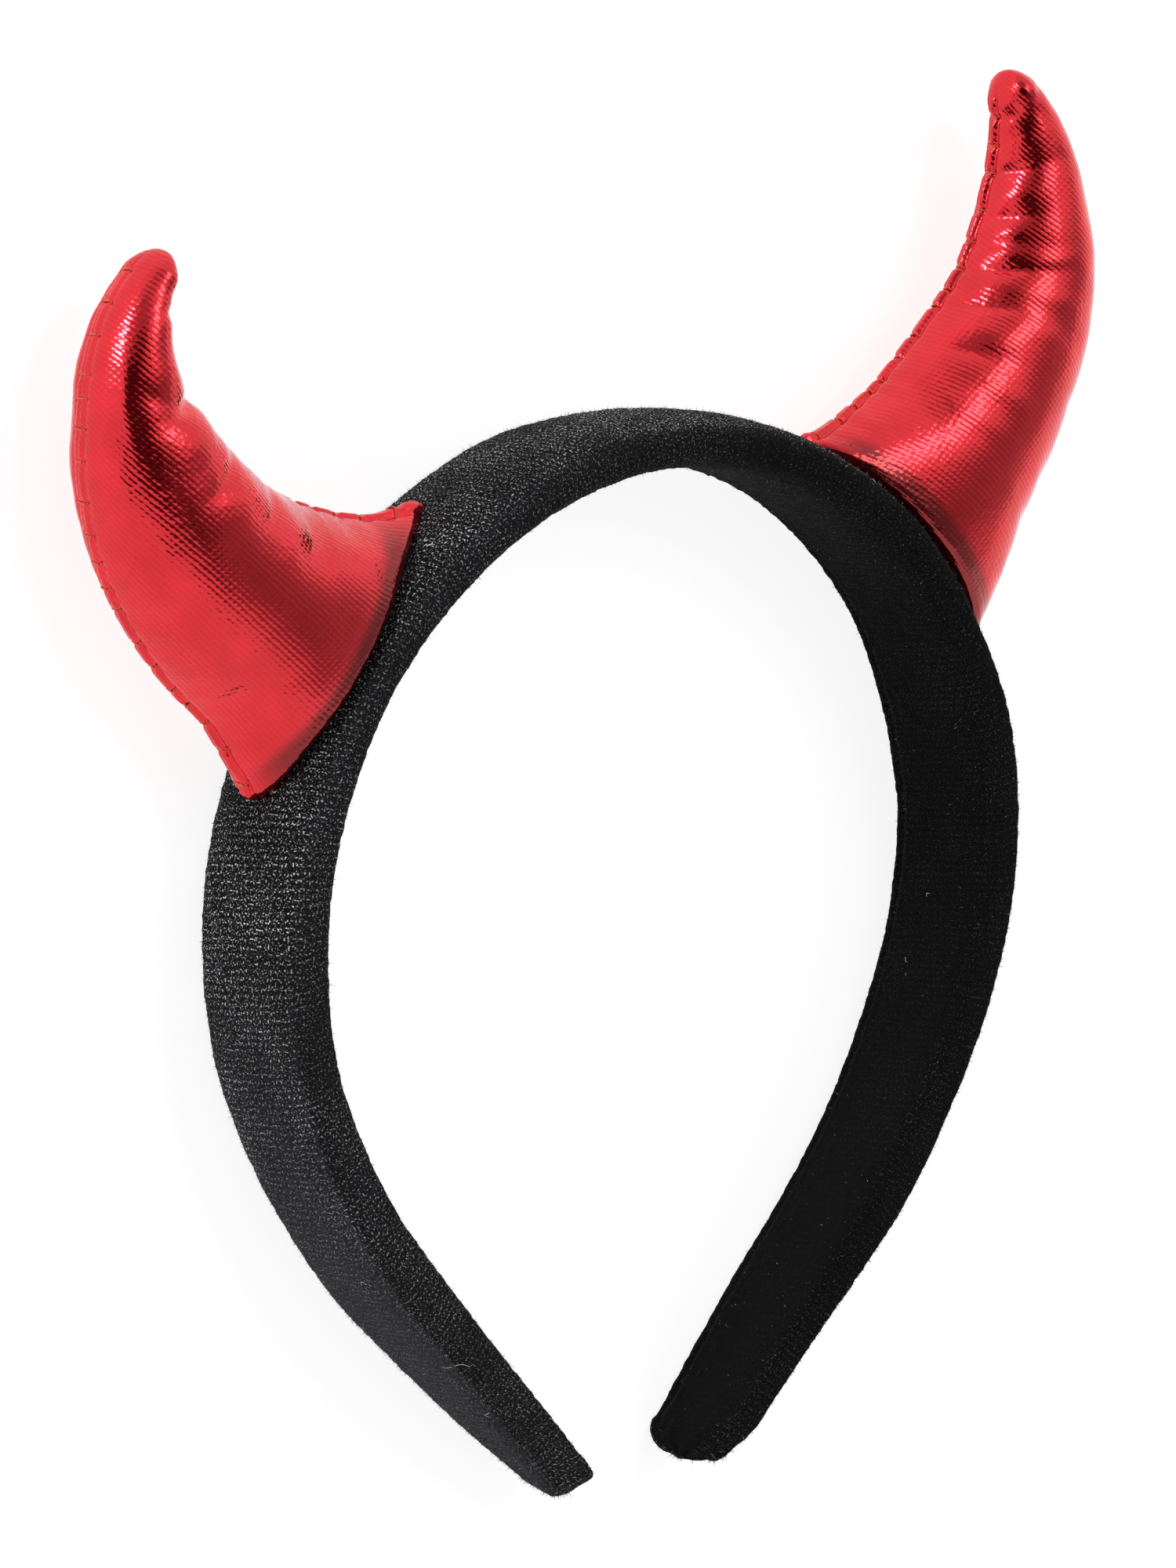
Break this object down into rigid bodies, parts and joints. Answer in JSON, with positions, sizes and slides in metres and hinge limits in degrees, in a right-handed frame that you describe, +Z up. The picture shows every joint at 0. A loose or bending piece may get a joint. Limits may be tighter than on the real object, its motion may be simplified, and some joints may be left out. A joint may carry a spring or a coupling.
{
  "type": "devil horns headband",
  "caption": "Padded velvet headband with two stuffed metallic horns curling upward, lying on its back edge.",
  "frame": {"origin": "on the surface it lies on, under the middle of the whole headpiece's box", "axes": "+Z up from the surface, from the band's back edge to its front edge; +Y from the open tips towards the crown; +X across the head, towards the viewer's right in the picture"},
  "size_m": [0.1936, 0.1948, 0.0232],
  "materials": {
    "velvet": "black stretch velvet, short pile with fine ribs across the band",
    "foil_knit": "red metallic foil on a fine knit, crinkled and glossy"
  },
  "bodies": {
    "root": {"headband": "velvet", "horn_left": "foil_knit", "horn_right": "foil_knit"}
  },
  "joints": []
}
